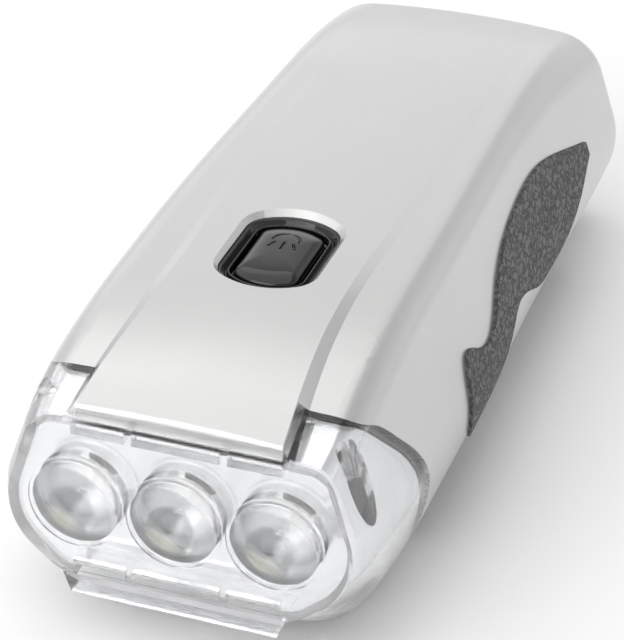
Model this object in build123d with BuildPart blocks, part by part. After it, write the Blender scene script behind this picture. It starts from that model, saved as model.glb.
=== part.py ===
from build123d import *
import os
from math import acos, asin, cos, pi, radians, sin, tan
from typing import NamedTuple

os.makedirs("parts", exist_ok=True)

# ---------------------------------------------------------------------------
# Hand crank flashlight.  Millimetres, +Z up, lenses towards -Y, X across.
# The origin is on the surface it lies on, under the middle of its outline.
# ---------------------------------------------------------------------------

# Body
LENS_Z = 17.8            # height of the lens axes above the ground
FRONT_Y = -57.4          # where the front plane crosses the lens axes
FACE_LEAN = 3.7          # the front face leans back by this angle at its top
WALL = 1.8
REAR_ROUND = 5.0         # rounding all round the rear end
INNER_ROUND = 2.8        # the same inside the wall
PARTING_Z = 9.4          # joint between the two shells
CROWN = 0.4              # rise of the top band at its middle
STEP_RUN = 1.3           # width of the slope down from the band to the shoulder
WIDEST = -4.3            # level of the widest line, from the lens axes
LOWER_EASE = 5.6         # radius of the lower corners

# Clear cover, lenses and lamp
LENS_PITCH = 12.0
LENS_RADIUS = 5.8
LENS_BULGE = 1.6
LENS_RIM = 0.5           # height of the rim round each lens
PLATE = 2.0              # thickness of the clear front plate
COVER_WALL = 1.7
LIP_HALF = 12.6
LAMP_DEPTH = 14.6        # front face of the lamp board behind the front plane

# Brow: the tongue of the upper shell over the front face
BROW_FRONT = 1.5
BROW_BACK = 9.4
BROW_HALF = 12.4
BROW_EASE = 1.0          # rounding of its front edge
BROW_UNDER = 10.3        # its underside above the lens axes, at its front edge

# Button
BUTTON_Y = -23.1
OPENING_X = 12.0
OPENING_Y = 17.2
OPENING_END = 8.0        # radius of the opening's flattened ends
OPENING_CORNER = 3.4     # radius between an end and a straight side
OPENING_BEVEL = 33.75    # level where the opening starts to widen
BUTTON_TOP = 34.1
BOARD_Y = -21.0
BOARD_Z = 23.4
SWITCH_HEIGHT = 2.9

# Crank under the body
CRANK_Y = 6.0
SWEEP = 39.0             # radius kept free for the turning arm
RECESS_Z = 7.4           # ceiling of the space for the arm
ARM_BOTTOM = 0.7
ARM_TOP = 6.9
HINGE_RADIUS = 32.5      # crank centre to the knob's hinge
FLOOR_Z = RECESS_Z + WALL

# Gear train
PRESSURE = 25.0
BACKLASH = 0.16
DRIVE_TEETH = 40
WHEEL_TEETH = 36
PINION_TEETH = 12
MODULE_1 = 0.75
MODULE_2 = 0.6
MODULE_3 = 0.5
LAYER_1 = 10.4
LAYER_2 = 14.4
LAYER_3 = 17.6
PLATE_Z = 20.6           # gearbox plate
PLATE_THICK = 1.4
RUNNING = 0.05           # radial clearance of a shaft in its bore
TOWARDS_SECOND = 131.4   # direction from the first gear axle to the second
TOWARDS_ROTOR = 16.5     # direction from the second gear axle to the rotor

# Screws, posts and shafts
SCREW_RADIUS = 1.2
CASE_POST = 2.6
BOARD_POST = 2.2
BOARD_THICK = 1.2
HEAD_RADIUS = 2.3
HEAD_HEIGHT = 1.5
SEAT_Z = 4.0             # level that the case screws' heads pull against
AXLE_RADIUS = 1.0
ROTOR_SHAFT = 0.75
BUSH_RADIUS = 3.5
SHAFT_RADIUS = 2.0

# Grips let into the sides
GRIP_PROUD = 0.45
GRIP_SUNK = 1.0

# Front of the clear cover, with heights from the lens axes
TAB_X = 5.7              # tabs that cross the slots
BOSS_X = 18.6            # bosses behind the cover's upper corners
BOSS_DEPTH = 6.5
BOSS_RADIUS = 1.5
FRONT_EASE = 2.4         # rounding of the cover's front edge
FRONT_HALF = 22.2        # half width of the front face at the widest level
FRONT_HALF_TOP = 17.6
FRONT_TOP = 11.4
FRONT_HALF_LOW = 14.4
FRONT_LOW = -10.9
FLARE = 32.0             # how fast the eased front block widens backwards
FLARE_DEPTH = 25.0
LIP_PROUD = 0.7          # bottom lip, ahead of the front plane
LIP_DEPTH = 7.0
LIP_TOP = -9.6
LIP_BOTTOM = -12.1
LIP_TOP_HALF = 13.6
TOP_SLOT = 9.4           # dark slots over and under the lenses
LOW_SLOT = -8.8

# Reflector bowls, diodes and seal
BOWL_FRONT = 3.0         # depth of the reflector's front flange
BOWL_BACK = 12.6
BOWL_MOUTH = 5.5
BOWL_THROAT = 2.6
BOWL_WALL = 0.7
LED_RADIUS = 2.5
LAMP_POSTS = [(-6.0, -6.6), (6.0, -6.6)]
SEAL_WIDTH = 1.6
SKIRT_GAP = 0.4          # between the reflector's skirt and the seal

# Push button and switch
CAP_GAP = 0.25
TROUGH = 1.7             # width of the black trough round the button
FLANGE_TOP = 31.0        # underside of the shell's roof
PLUNGER_RADIUS = 1.7
SWITCH_TOP = BOARD_Z + BOARD_THICK + SWITCH_HEIGHT

# Battery
CELL_RADIUS = 5.7
CELL_LENGTH = 5.4
CELL_PLACE = (-20.5, 15.4)
PACK_HALF = 1.5 * CELL_LENGTH

# Generator
PLATE_TOP = PLATE_Z + PLATE_THICK
STATOR_TOP = 28.0
MAGNET_RADIUS = 5.4
CLAW_RADIUS = 6.0
CLAW_WIDTH = 0.8
STATOR_RADIUS = 10.0
BOBBIN_BOTTOM = PLATE_TOP + 0.8
BOBBIN_HEIGHT = STATOR_TOP - PLATE_TOP - 1.6
BOBBIN_BORE = CLAW_RADIUS + CLAW_WIDTH + 0.2

# Crank arm and knob
HUB_RADIUS = 9.0
ARM_HALF = 7.2
SLOT_HALF = 4.2
FORK_RADIUS = 3.1
HINGE_Y = CRANK_Y - HINGE_RADIUS
HINGE_Z = (ARM_BOTTOM + ARM_TOP) / 2
PIN_RADIUS = 0.9
KNOB_RADIUS = 3.0
KNOB_AXLE = 1.2
KNOB_START = HINGE_Y + 3.2
KNOB_LENGTH = 15.0
KNOB_END = KNOB_START + KNOB_LENGTH
SCREW_SEAT = ARM_BOTTOM + 1.8


class Station(NamedTuple):
    """One cross section of the body; heights are from the lens axes."""
    depth: float         # behind the front plane
    half_width: float    # at the widest level
    top: float           # at the edge of the raised band
    step: float          # drop from the band to the shoulder
    band: float          # half width of the band
    shoulder: float      # half width at the shoulder corner
    ease: float          # radius of the shoulder corner
    side_ease: float     # radius at the widest level
    belly: float         # underside
    belly_half: float    # half width of the flat underside


STATIONS = [
    Station(-1.6, 20.9, 10.6, 1.5, 12.7, 16.7, 3.6, 7.5, -9.9, 13.6),
    Station(0.6, 22.3, 11.6, 1.5, 12.5, 17.6, 3.8, 8.5, -11.0, 14.4),
    Station(2.6, 23.4, 12.3, 1.4, 12.3, 18.1, 4.0, 9.5, -12.4, 15.2),
    Station(6.0, 24.2, 13.4, 1.4, 11.9, 18.5, 4.2, 10.5, -14.9, 16.4),
    Station(11.0, 24.5, 14.5, 1.1, 11.4, 18.7, 4.3, 11.5, -17.0, 17.4),
    Station(17.0, 24.6, 15.4, 0.8, 10.9, 18.7, 4.3, 11.5, -18.0, 17.8),
    Station(24.0, 24.7, 16.0, 0.5, 10.6, 18.6, 4.3, 11.5, -18.0, 17.8),
    Station(34.0, 24.8, 16.3, 0.25, 10.6, 18.5, 4.3, 11.5, -18.0, 17.8),
    Station(48.0, 24.6, 16.3, 0.06, 11.2, 18.5, 4.3, 11.5, -18.0, 17.8),
    Station(67.0, 24.2, 16.2, 0.05, 11.3, 18.1, 4.4, 11.5, -18.0, 17.8),
    Station(84.0, 24.3, 15.8, 0.05, 11.3, 17.9, 5.0, 11.5, -18.0, 17.8),
    Station(98.0, 24.5, 14.9, 0.05, 11.3, 18.3, 6.4, 11.5, -18.0, 17.8),
    Station(108.0, 24.5, 13.2, 0.05, 11.3, 18.9, 7.6, 11.5, -18.0, 17.8),
    Station(116.6, 24.2, 11.4, 0.05, 11.3, 19.6, 8.4, 11.5, -18.0, 17.8),
]


# ---------------------------------------------------------------------------
# Outlines
# ---------------------------------------------------------------------------

def draw_rounded(corners, radii, arc_over=None):
    """Draw a closed outline with eased corners; the last side may arch through a point."""
    joints = []
    count = len(corners)
    for index, corner in enumerate(corners):
        here = Vector(*corner)
        back = (Vector(*corners[index - 1]) - here).normalized()
        ahead = (Vector(*corners[(index + 1) % count]) - here).normalized()
        half = radians(back.get_angle(ahead)) / 2
        reach = radii[index] / tan(half)
        inward = (back + ahead).normalized() if radii[index] else Vector(0, 0)
        middle = here + inward * (radii[index] / sin(half) - radii[index])
        joints.append((here + back * reach, middle, here + ahead * reach))
    for index, (start, middle, finish) in enumerate(joints):
        if radii[index]:
            ThreePointArc(start, middle, finish)
        following = joints[(index + 1) % count][0]
        if arc_over and index == count - 1:
            ThreePointArc(finish, arc_over, following)
        else:
            Line(finish, following)


def moved_in(run, amount):
    """The inner corners of a clockwise run, with each side moved inwards."""
    inward = []
    for start, finish in zip(run, run[1:]):
        along = (Vector(*finish) - Vector(*start)).normalized()
        inward.append(Vector(along.Y, -along.X))
    moved = []
    for corner, one, other in zip(run[1:], inward, inward[1:]):
        shift = (one + other) * (amount / (1 + one.dot(other)))
        moved.append((corner[0] + shift.X, corner[1] + shift.Y))
    return moved


def draw_section(station, inset):
    """Draw the body's cross section; an inner one leaves out the raised band."""
    s = station
    slope = 2 * CROWN / s.band
    shoulder_z = s.top - s.step - slope * (s.shoulder - s.band)
    run = [
        (0, shoulder_z + slope * s.shoulder),
        (s.shoulder, shoulder_z),
        (s.half_width, WIDEST),
        (s.belly_half, s.belly),
        (0, s.belly),
    ]
    right = moved_in(run, inset)
    radii = [s.ease - inset, s.side_ease - inset, LOWER_EASE - inset]
    middle = (0, shoulder_z + CROWN - inset)
    if inset <= 0:
        band_z = s.top - inset
        foot = (s.band + STEP_RUN, band_z - s.step - slope * STEP_RUN)
        right = [(s.band, band_z), foot] + right
        radii = [0, 0] + radii
        middle = (0, band_z + CROWN)
    left = [(-x, z) for x, z in reversed(right)]
    draw_rounded(right + left, radii + radii[::-1], middle)


def section_plane(depth):
    """Upright plane across the body, on the lens axes' level."""
    return Plane(origin=(0, FRONT_Y + depth, LENS_Z), x_dir=(1, 0, 0), z_dir=(0, -1, 0))


# ---------------------------------------------------------------------------
# Shapes that several pieces are cut from
# ---------------------------------------------------------------------------

def body_shape(inset, ease):
    """The whole body, moved in by an inset, with its rear end rounded."""
    last = STATIONS[-1]
    stations = STATIONS[:-1] + [last._replace(depth=last.depth - inset)]
    with BuildPart() as shape:
        for station in stations:
            with BuildSketch(section_plane(station.depth)):
                with BuildLine():
                    draw_section(station, inset)
                make_face()
        loft()
        rear = shape.faces().sort_by(Axis.Y)[-1]
        fillet(rear.edges(), ease)
    return shape.part


def side_region(points, half_width=30.0):
    """A block whose side view is a polygon of (depth, height above the lens axes)."""
    with BuildPart() as region:
        with BuildSketch(Plane.YZ):
            with BuildLine():
                Polyline([(FRONT_Y + depth, LENS_Z + z) for depth, z in points], close=True)
            make_face()
        extrude(amount=half_width, both=True)
    return region.part


def ahead_of_face(depth):
    """Everything ahead of a leaning plane that crosses the lens axes at a depth."""
    lean = 40 * tan(radians(FACE_LEAN))
    return side_region([(depth + lean, 40), (depth - lean, -40), (-60, -40), (-60, 40)])


def cover_region():
    """Everything ahead of the joint between the clear cover and the shells."""
    joint = [(7.4, 22), (7.9, 14), (9.0, 11.9), (11.4, 10.3), (15.4, 6.4), (19.0, 2.2), (20.2, -1.2),
             (18.6, -4.6), (14.8, -8.4), (12.0, -13), (10.6, -22)]
    with BuildPart() as region:
        with BuildSketch(Plane.YZ):
            with BuildLine():
                edge = Spline([(FRONT_Y + depth, LENS_Z + z) for depth, z in joint])
                Polyline(edge @ 1, (FRONT_Y - 10, LENS_Z - 22), (FRONT_Y - 10, LENS_Z + 22), edge @ 0)
            make_face()
        extrude(amount=40, both=True)
    return region.part


def brow_region(gap):
    """The space of the brow, grown all round by a gap."""
    rise = 0.2 * (BROW_BACK - BROW_FRONT)
    front = BROW_FRONT - gap
    side = [(front, BROW_UNDER - gap), (BROW_BACK, BROW_UNDER + rise - gap), (BROW_BACK, 30), (front, 30)]
    with BuildPart() as region:
        add(side_region(side))
        with BuildSketch(Plane.XY):
            with BuildLine():
                wide = BROW_HALF + gap
                narrow = STATIONS[4].band + 0.3 + gap
                Polyline(
                    (-wide, FRONT_Y),
                    (wide, FRONT_Y),
                    (narrow, FRONT_Y + BROW_BACK),
                    (-narrow, FRONT_Y + BROW_BACK),
                    close=True,
                )
            make_face()
        extrude(amount=60, mode=Mode.INTERSECT)
    return region.part


def slab(bottom, top):
    """A wide block between two heights."""
    with BuildPart() as block:
        with BuildSketch(Plane.XY.offset(bottom)):
            Rectangle(200, 200)
        extrude(amount=top - bottom)
    return block.part


with BuildPart() as outer_block:
    add(body_shape(0, REAR_ROUND))
    add(slab(-10, 0), mode=Mode.SUBTRACT)
outer = outer_block.part
inner = body_shape(WALL, INNER_ROUND)
front_region = cover_region()
brow_space = brow_region(0)


# ---------------------------------------------------------------------------
# Places of the gears and screws
# ---------------------------------------------------------------------------

def stepped(place, distance, angle):
    """A point at a distance and direction from another."""
    x, y = place
    return (x + distance * cos(radians(angle)), y + distance * sin(radians(angle)))


CRANK = (0.0, CRANK_Y)
FIRST = stepped(CRANK, MODULE_1 * (DRIVE_TEETH + PINION_TEETH) / 2, 90)
SECOND = stepped(FIRST, MODULE_2 * (WHEEL_TEETH + PINION_TEETH) / 2, TOWARDS_SECOND)
ROTOR = stepped(SECOND, MODULE_3 * (WHEEL_TEETH + PINION_TEETH) / 2, TOWARDS_ROTOR)
CASE_SCREWS = [(-14.5, -37.5), (14.5, -37.5), (-14.0, 50.0), (14.0, 50.0)]
GEARBOX_SCREWS = [(-16.0, -10.5), (16.0, -10.5), (-16.5, 20.0), (14.5, 43.0)]
BOARD_SCREWS = [(-10.4, -31.0), (10.4, -31.0), (-10.4, -11.0), (10.4, -11.0)]


# ---------------------------------------------------------------------------
# Shells
# ---------------------------------------------------------------------------

def draw_button_oval(grow=0.0):
    """Draw an oval with straight sides, flattened ends and round corners, grown by an amount."""
    half_x = OPENING_X / 2 + grow
    half_y = OPENING_Y / 2 + grow
    corner = OPENING_CORNER + grow
    across = OPENING_X / 2 - OPENING_CORNER
    apart = OPENING_END - OPENING_CORNER
    start = asin(across / apart)
    halfway = (start + pi / 2) / 2
    straight = OPENING_Y / 2 - OPENING_END + apart * cos(start)
    end_x = across + corner * sin(start)
    end_y = straight + corner * cos(start)
    mid_x = across + corner * sin(halfway)
    mid_y = straight + corner * cos(halfway)
    for way in (1, -1):
        ThreePointArc((-way * end_x, way * end_y), (0, way * half_y), (way * end_x, way * end_y))
        ThreePointArc((way * end_x, way * end_y), (way * mid_x, way * mid_y), (way * half_x, way * straight))
        Line((way * half_x, way * straight), (way * half_x, -way * straight))
        ThreePointArc((way * half_x, -way * straight), (way * mid_x, -way * mid_y), (way * end_x, -way * end_y))


def button_plane(height):
    """Level plane centred on the button."""
    return Plane(origin=(0, BUTTON_Y, height))


GRIP_UPPER = [(36.4, -6.0), (37.0, 1.5), (38.6, 3.7), (43.8, 1.7), (48.6, 1.5), (54, 5.0), (62, 8.0),
              (69, 8.9), (77, 8.9), (87, 6.6), (97.5, 3.2)]
GRIP_LOWER = [(97.5, 1.4), (90, -1.8), (84.5, -3.9), (76, -4.4), (69, -3.6), (63, -1.2), (59, -0.7),
              (54, -3.4), (49, -6.0), (43, -7.0), (37.6, -7.4)]


def grip_block(side):
    """The grip's outline in side view, run out through one side wall."""
    with BuildPart() as block:
        with BuildSketch(Plane.YZ):
            with BuildLine():
                upper = Spline([(FRONT_Y + depth, LENS_Z + z) for depth, z in GRIP_UPPER])
                lower = Spline([(FRONT_Y + depth, LENS_Z + z) for depth, z in GRIP_LOWER])
                Line(upper @ 1, lower @ 0)
                Line(lower @ 1, upper @ 0)
            make_face()
        extrude(amount=side * 40)
    return block.part


grip_floor = body_shape(GRIP_SUNK, INNER_ROUND)
grip_skin = body_shape(-GRIP_PROUD, REAR_ROUND + 0.4)

for side, label in ((-1, "grip_left"), (1, "grip_right")):
    with BuildPart() as grip:
        add(grip_block(side))
        add(grip_skin, mode=Mode.INTERSECT)
        add(grip_floor, mode=Mode.SUBTRACT)
    grip.part.label = label
    export_step(grip.part, f"parts/{label}.step")

with BuildPart() as hull:
    add(outer)
    add(inner, mode=Mode.SUBTRACT)

with BuildPart() as brow:
    add(outer)
    add(brow_space, mode=Mode.INTERSECT)
    brow_front = brow.faces().sort_by(Axis.Y)[0]
    fillet(brow_front.edges().sort_by(Axis.Z)[-1:], BROW_EASE)

with BuildPart() as grip_seats:
    for side in (-1, 1):
        add(grip_block(side))
    add(grip_floor, mode=Mode.SUBTRACT)


with BuildPart() as upper_posts:
    with BuildSketch(Plane.XY.offset(PARTING_Z)):
        with Locations(*CASE_SCREWS):
            Circle(CASE_POST)
    extrude(amount=40)
    with BuildSketch(Plane.XY.offset(BOARD_Z + BOARD_THICK)):
        with Locations(*BOARD_SCREWS):
            Circle(BOARD_POST)
    extrude(amount=30)
    add(outer, mode=Mode.INTERSECT)

with BuildPart() as upper_shell:
    add(hull.part)
    add(front_region, mode=Mode.SUBTRACT)
    add(upper_posts.part)
    with BuildSketch(Plane.XY.offset(PARTING_Z)):
        with Locations(*CASE_SCREWS):
            Circle(SCREW_RADIUS)
    extrude(amount=9, mode=Mode.SUBTRACT)
    with BuildSketch(Plane.XY.offset(BOARD_Z + BOARD_THICK)):
        with Locations(*BOARD_SCREWS):
            Circle(0.8)
    extrude(amount=4, mode=Mode.SUBTRACT)
    with BuildSketch(button_plane(FLANGE_TOP - 7)):
        with BuildLine():
            draw_button_oval()
        make_face()
    extrude(amount=20, mode=Mode.SUBTRACT)
    with BuildSketch(button_plane(OPENING_BEVEL)):
        with BuildLine():
            draw_button_oval()
        make_face()
    extrude(amount=1.0, taper=-45, mode=Mode.SUBTRACT)
    add(slab(-10, PARTING_Z), mode=Mode.SUBTRACT)
    add(grip_seats.part, mode=Mode.SUBTRACT)
    add(brow.part)
upper_shell.part.label = "upper_shell"
export_step(upper_shell.part, "parts/upper_shell.step")


with BuildPart() as lower_shell:
    with BuildSketch(Plane.XY.offset(-1)):
        with Locations(CRANK):
            Circle(SWEEP + WALL)
    extrude(amount=FLOOR_Z + 1)
    with BuildSketch(Plane.XY.offset(-1)):
        with Locations(*CASE_SCREWS):
            Circle(HEAD_RADIUS + WALL)
    extrude(amount=PARTING_Z + 1)
    add(outer, mode=Mode.INTERSECT)
    add(hull.part)
    add(slab(PARTING_Z, 60), mode=Mode.SUBTRACT)
    add(front_region, mode=Mode.SUBTRACT)
    with BuildSketch(Plane.XY.offset(FLOOR_Z - 0.5)):
        with Locations(*GEARBOX_SCREWS):
            Circle(2.4)
    extrude(amount=PLATE_Z - FLOOR_Z + 0.5)
    with BuildSketch(Plane.XY.offset(FLOOR_Z - 0.5)):
        with Locations(FIRST):
            Circle(2.2)
    extrude(amount=1.4)
    with BuildSketch(Plane.XY.offset(FLOOR_Z - 0.5)):
        with Locations(SECOND, ROTOR):
            Circle(2.2)
    extrude(amount=LAYER_2 - FLOOR_Z)
    with BuildSketch(Plane.XY.offset(-1)):
        with Locations(CRANK):
            Circle(SWEEP)
    extrude(amount=RECESS_Z + 1, mode=Mode.SUBTRACT)
    with BuildSketch(Plane.XY.offset(-1)):
        with Locations(CRANK):
            Circle(BUSH_RADIUS)
    extrude(amount=20, mode=Mode.SUBTRACT)
    with BuildSketch(Plane.XY.offset(-1)):
        with Locations(*CASE_SCREWS):
            Circle(HEAD_RADIUS + 0.3)
    extrude(amount=SEAT_Z + 1, mode=Mode.SUBTRACT)
    with BuildSketch(Plane.XY.offset(-1)):
        with Locations(*CASE_SCREWS):
            Circle(SCREW_RADIUS)
    extrude(amount=20, mode=Mode.SUBTRACT)
    with BuildSketch(Plane.XY.offset(PLATE_Z - 6)):
        with Locations(*GEARBOX_SCREWS):
            Circle(0.9)
    extrude(amount=7, mode=Mode.SUBTRACT)
    with BuildSketch(Plane.XY.offset(FLOOR_Z - 1)):
        with Locations(FIRST, SECOND):
            Circle(AXLE_RADIUS)
    extrude(amount=20, mode=Mode.SUBTRACT)
    with BuildSketch(Plane.XY.offset(FLOOR_Z - 1)):
        with Locations(ROTOR):
            Circle(ROTOR_SHAFT + RUNNING)
    extrude(amount=20, mode=Mode.SUBTRACT)
lower_shell.part.label = "lower_shell"
export_step(lower_shell.part, "parts/lower_shell.step")


# ---------------------------------------------------------------------------
# Clear cover with its three lenses
# ---------------------------------------------------------------------------

lean = radians(FACE_LEAN)
FACE = Plane(origin=(0, FRONT_Y, LENS_Z), x_dir=(1, 0, 0), z_dir=(0, -cos(lean), sin(lean)))
LENS_X = [-LENS_PITCH, 0.0, LENS_PITCH]

with BuildPart() as cover_hollow:
    add(inner)
    add(ahead_of_face(PLATE), mode=Mode.SUBTRACT)
    add(brow_region(1.4), mode=Mode.SUBTRACT)

with BuildPart() as lens_blank:
    glass_radius = LENS_RADIUS - LENS_RIM
    ball = (glass_radius ** 2 + LENS_BULGE ** 2) / (2 * LENS_BULGE)
    front_top = 0.3 + LENS_BULGE
    back_top = PLATE + LENS_BULGE / 2
    with BuildSketch(Plane.XY.offset(-back_top)):
        Circle(glass_radius)
    extrude(amount=back_top + front_top)
    with Locations((0, 0, front_top - ball)):
        Sphere(ball, mode=Mode.INTERSECT)
    with Locations((0, 0, 1.6 * ball - back_top)):
        Sphere(1.6 * ball, mode=Mode.INTERSECT)


def eased_front(ease):
    """A flared block whose front edge is rounded, as wide in front as the body is there."""
    right = [(FRONT_HALF_TOP, FRONT_TOP), (FRONT_HALF, WIDEST), (FRONT_HALF_LOW, FRONT_LOW)]
    left = [(-x, z) for x, z in reversed(right)]
    radii = [3.0, 7.5, 4.5]
    with BuildPart() as block:
        with BuildSketch(FACE):
            with BuildLine():
                draw_rounded(right + left, radii + radii[::-1])
            make_face()
        extrude(amount=-FLARE_DEPTH, taper=-FLARE)
        fillet(block.faces().sort_by(Axis.Y)[0].edges(), ease)
    return block.part


with BuildPart() as cover_blank:
    add(outer)
    add(front_region, mode=Mode.INTERSECT)
    add(ahead_of_face(0), mode=Mode.SUBTRACT)
    add(brow_region(0.1), mode=Mode.SUBTRACT)
    add(eased_front(FRONT_EASE), mode=Mode.INTERSECT)
    with BuildSketch(FACE.offset(LIP_PROUD)):
        with BuildLine():
            Polyline(
                (-LIP_TOP_HALF, LIP_TOP),
                (LIP_TOP_HALF, LIP_TOP),
                (LIP_HALF, LIP_BOTTOM),
                (-LIP_HALF, LIP_BOTTOM),
                close=True,
            )
        make_face()
    extrude(amount=-LIP_DEPTH)

with BuildPart() as lens_cover:
    add(cover_blank.part)
    add(cover_hollow.part, mode=Mode.SUBTRACT)
    with Locations(*[(x, FRONT_Y + BOSS_DEPTH, LENS_Z + 6.6) for x in (-BOSS_X, BOSS_X)]):
        Cylinder(BOSS_RADIUS, 12, align=(Align.CENTER, Align.CENTER, Align.MIN))
        Cylinder(0.6, 6, align=(Align.CENTER, Align.CENTER, Align.MIN), mode=Mode.SUBTRACT)
    add(cover_blank.part, mode=Mode.INTERSECT)
    for z, depth in ((TOP_SLOT, 1.6), (LOW_SLOT, 1.0)):
        with BuildSketch(FACE):
            with Locations((0, z)):
                Rectangle(2 * LIP_HALF, 1.4)
            for x in (-TAB_X, TAB_X):
                with Locations((x, z)):
                    Rectangle(0.9, 1.4, mode=Mode.SUBTRACT)
        extrude(amount=-depth, mode=Mode.SUBTRACT)
    with BuildSketch(FACE.offset(-PLATE)):
        with Locations(*[(x, 0) for x in LENS_X]):
            Circle(LENS_RADIUS)
    extrude(amount=PLATE + LENS_RIM)
    with BuildSketch(FACE.offset(-PLATE)):
        with Locations(*[(x, 0) for x in LENS_X]):
            Circle(glass_radius)
    extrude(amount=PLATE + LENS_RIM, mode=Mode.SUBTRACT)
    for x in LENS_X:
        add(FACE.location * Location((x, 0, 0)) * lens_blank.part)
lens_cover.part.label = "lens_cover"
export_step(lens_cover.part, "parts/lens_cover.step")


# ---------------------------------------------------------------------------
# Lamp: reflector, light emitting diodes and their board, dark seal
# ---------------------------------------------------------------------------


def draw_bowl(thick):
    """Half section of a reflector bowl: radius across, depth up."""
    mouth = BOWL_MOUTH + thick
    throat = BOWL_THROAT + thick
    middle = (0.62 * mouth + 0.38 * throat + 0.1, (BOWL_FRONT + BOWL_BACK) / 2 + 1.5)
    ThreePointArc((mouth, BOWL_FRONT), middle, (throat, BOWL_BACK))
    Polyline((throat, BOWL_BACK), (0, BOWL_BACK), (0, BOWL_FRONT), (mouth, BOWL_FRONT))


def bowl(thick):
    """A solid bowl shape about +Z, with depth measured along +Z."""
    with BuildPart() as shape:
        with BuildSketch(Plane.XZ):
            with BuildLine():
                draw_bowl(thick)
            make_face()
        revolve(axis=Axis.Z)
    return shape.part


def lamp_place(x, z=0.0, depth=0.0):
    """Place that looks backwards into the body from the front plane."""
    plane = Plane(origin=(x, FRONT_Y + depth, LENS_Z + z), x_dir=(1, 0, 0), z_dir=(0, 1, 0))
    return plane.location


flange_side = [(BOWL_FRONT, -40), (BOWL_FRONT + 0.8, -40), (BOWL_FRONT + 0.8, 40), (BOWL_FRONT, 40)]
lining_skin = body_shape(COVER_WALL + 0.15, INNER_ROUND)
lining_core = body_shape(COVER_WALL + 1.1, INNER_ROUND - 0.8)

with BuildPart() as lining:
    add(lining_skin)
    add(lining_core, mode=Mode.SUBTRACT)

with BuildPart() as reflector_flange:
    add(lining_skin)
    add(side_region(flange_side), mode=Mode.INTERSECT)

with BuildPart() as reflector:
    add(lining.part)
    add(Location((0, -SEAL_WIDTH - SKIRT_GAP, 0)) * front_region, mode=Mode.INTERSECT)
    add(side_region([(-9, -40), (-9, 40), (BOWL_FRONT, 40), (BOWL_FRONT, -40)]), mode=Mode.SUBTRACT)
    with Locations(*[(x, FRONT_Y + BOSS_DEPTH, LENS_Z) for x in (-BOSS_X, BOSS_X)]):
        Cylinder(BOSS_RADIUS + 0.5, 40, mode=Mode.SUBTRACT)
    add(reflector_flange.part)
    add(brow_region(1.9), mode=Mode.SUBTRACT)
    with BuildSketch(section_plane(BOWL_FRONT + 0.4)):
        with Locations(*LAMP_POSTS):
            Circle(1.5)
    extrude(amount=-(LAMP_DEPTH - BOWL_FRONT - 0.4))
    for x in LENS_X:
        add(lamp_place(x) * Rotation(0, 0, 90) * bowl(BOWL_WALL))
    for x in LENS_X:
        add(lamp_place(x) * Rotation(0, 0, 90) * bowl(0), mode=Mode.SUBTRACT)
    with BuildSketch(section_plane(LAMP_DEPTH)):
        with Locations(*LAMP_POSTS):
            Circle(0.7)
    extrude(amount=5, mode=Mode.SUBTRACT)
reflector.part.label = "reflector"
export_step(reflector.part, "parts/reflector.step")

with BuildPart() as led_shape:
    with BuildSketch(Plane.XY):
        Circle(LED_RADIUS + 0.4)
    extrude(amount=-1.0)
    with BuildSketch(Plane.XY.offset(-1.0)):
        Circle(LED_RADIUS)
    extrude(amount=-3.2)
    with Locations((0, 0, -4.2)):
        Sphere(LED_RADIUS)

for x, label in zip(LENS_X, ("led_left", "led_centre", "led_right")):
    with BuildPart() as led:
        add(lamp_place(x, 0, LAMP_DEPTH) * led_shape.part)
    led.part.label = label
    export_step(led.part, f"parts/{label}.step")

with BuildPart() as lamp_board:
    with BuildSketch(section_plane(LAMP_DEPTH)):
        with Locations((0, -1.2)):
            RectangleRounded(35.0, 14.0, 1.5)
        with Locations(*LAMP_POSTS):
            Circle(0.9, mode=Mode.SUBTRACT)
    extrude(amount=-BOARD_THICK)
lamp_board.part.label = "lamp_board"
export_step(lamp_board.part, "parts/lamp_board.step")

with BuildPart() as lamp_screws:
    with BuildSketch(section_plane(LAMP_DEPTH + BOARD_THICK)):
        with Locations(*LAMP_POSTS):
            Circle(1.4)
    extrude(amount=-1.0)
    with BuildSketch(section_plane(LAMP_DEPTH + BOARD_THICK)):
        with Locations(*LAMP_POSTS):
            Circle(0.7)
    extrude(amount=5.0)
lamp_screws.part.label = "lamp_screws"
export_step(lamp_screws.part, "parts/lamp_screws.step")

with BuildPart() as cover_seal:
    add(lining.part)
    add(front_region, mode=Mode.INTERSECT)
    add(Location((0, -SEAL_WIDTH, 0)) * front_region, mode=Mode.SUBTRACT)
    add(brow_region(1.5), mode=Mode.SUBTRACT)
cover_seal.part.label = "cover_seal"
export_step(cover_seal.part, "parts/cover_seal.step")


# ---------------------------------------------------------------------------
# Button, switch and main board
# ---------------------------------------------------------------------------


with BuildPart() as button_bezel:
    with BuildSketch(button_plane(FLANGE_TOP - 0.9)):
        with BuildLine():
            draw_button_oval(1.6)
        make_face()
    extrude(amount=0.9)
    with BuildSketch(button_plane(FLANGE_TOP)):
        with BuildLine():
            draw_button_oval()
        make_face()
    extrude(amount=3.0)
    with BuildSketch(button_plane(FLANGE_TOP + 1.6)):
        with BuildLine():
            draw_button_oval(-0.6)
        make_face()
    extrude(amount=5.0, mode=Mode.SUBTRACT)
    with BuildSketch(button_plane(FLANGE_TOP - 5)):
        with BuildLine():
            draw_button_oval(-TROUGH)
        make_face()
    extrude(amount=10.0, mode=Mode.SUBTRACT)
button_bezel.part.label = "button_bezel"
export_step(button_bezel.part, "parts/button_bezel.step")

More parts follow.
